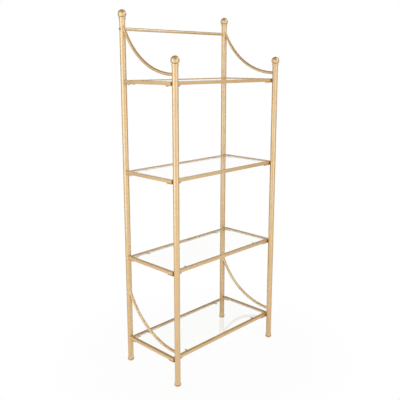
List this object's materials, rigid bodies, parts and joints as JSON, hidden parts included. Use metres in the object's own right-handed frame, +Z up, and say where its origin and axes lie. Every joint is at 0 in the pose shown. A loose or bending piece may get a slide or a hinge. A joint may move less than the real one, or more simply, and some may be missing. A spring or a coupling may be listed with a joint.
{
  "type": "etagere",
  "caption": "Free-standing metal etagere with glass shelves, round posts with ball finials, curved side braces and a back rail.",
  "frame": {"origin": "on the floor, midway between the four posts", "axes": "+X to the right, +Y towards the back where the posts are tall, +Z up"},
  "size_m": [0.668, 0.354, 1.578],
  "materials": {
    "gold_paint": "satin champagne gold",
    "clear_glass": "clear float glass",
    "clear_bumper": "clear soft plastic",
    "zinc_fasteners": "zinc plated",
    "gold_fasteners": "satin champagne gold"
  },
  "bodies": {
    "stand": {"front_left_post": "gold_paint", "front_left_finial": "gold_paint", "front_left_foot": "gold_paint", "rear_left_post": "gold_paint", "rear_left_finial": "gold_paint", "rear_left_foot": "gold_paint", "upper_left_brace": "gold_paint", "lower_left_brace": "gold_paint", "front_right_post": "gold_paint", "front_right_finial": "gold_paint", "front_right_foot": "gold_paint", "rear_right_post": "gold_paint", "rear_right_finial": "gold_paint", "rear_right_foot": "gold_paint", "upper_right_brace": "gold_paint", "lower_right_brace": "gold_paint", "back_rail": "gold_paint", "back_rail_plugs": "zinc_fasteners", "back_rail_screws": "gold_fasteners", "post_top_plugs": "zinc_fasteners", "finial_studs": "zinc_fasteners", "bottom_shelf_front_rail": "gold_paint", "bottom_shelf_rear_rail": "gold_paint", "bottom_shelf_left_rail": "gold_paint", "bottom_shelf_right_rail": "gold_paint", "bottom_shelf_glass_tabs": "gold_paint", "bottom_shelf_bumpers": "clear_bumper", "bottom_shelf_corner_plates": "gold_paint", "lower_shelf_front_rail": "gold_paint", "lower_shelf_rear_rail": "gold_paint", "lower_shelf_left_rail": "gold_paint", "lower_shelf_right_rail": "gold_paint", "lower_shelf_glass_tabs": "gold_paint", "lower_shelf_bumpers": "clear_bumper", "lower_shelf_corner_plates": "gold_paint", "upper_shelf_front_rail": "gold_paint", "upper_shelf_rear_rail": "gold_paint", "upper_shelf_left_rail": "gold_paint", "upper_shelf_right_rail": "gold_paint", "upper_shelf_glass_tabs": "gold_paint", "upper_shelf_bumpers": "clear_bumper", "upper_shelf_corner_plates": "gold_paint", "top_shelf_front_rail": "gold_paint", "top_shelf_rear_rail": "gold_paint", "top_shelf_left_rail": "gold_paint", "top_shelf_right_rail": "gold_paint", "top_shelf_glass_tabs": "gold_paint", "top_shelf_bumpers": "clear_bumper", "top_shelf_corner_plates": "gold_paint", "shelf_bolts": "gold_fasteners", "rail_rivet_nuts": "zinc_fasteners"},
    "bottom_glass": {"bottom_shelf_glass": "clear_glass"},
    "lower_glass": {"lower_shelf_glass": "clear_glass"},
    "upper_glass": {"upper_shelf_glass": "clear_glass"},
    "top_glass": {"top_shelf_glass": "clear_glass"}
  },
  "joints": [
    {"name": "bottom_glass_lift", "type": "slide", "parent": "stand", "child": "bottom_glass", "axis": [0, 0, 1], "range_m": [0, 0.02]},
    {"name": "lower_glass_lift", "type": "slide", "parent": "stand", "child": "lower_glass", "axis": [0, 0, 1], "range_m": [0, 0.02]},
    {"name": "upper_glass_lift", "type": "slide", "parent": "stand", "child": "upper_glass", "axis": [0, 0, 1], "range_m": [0, 0.02]},
    {"name": "top_glass_lift", "type": "slide", "parent": "stand", "child": "top_glass", "axis": [0, 0, 1], "range_m": [0, 0.02]}
  ]
}
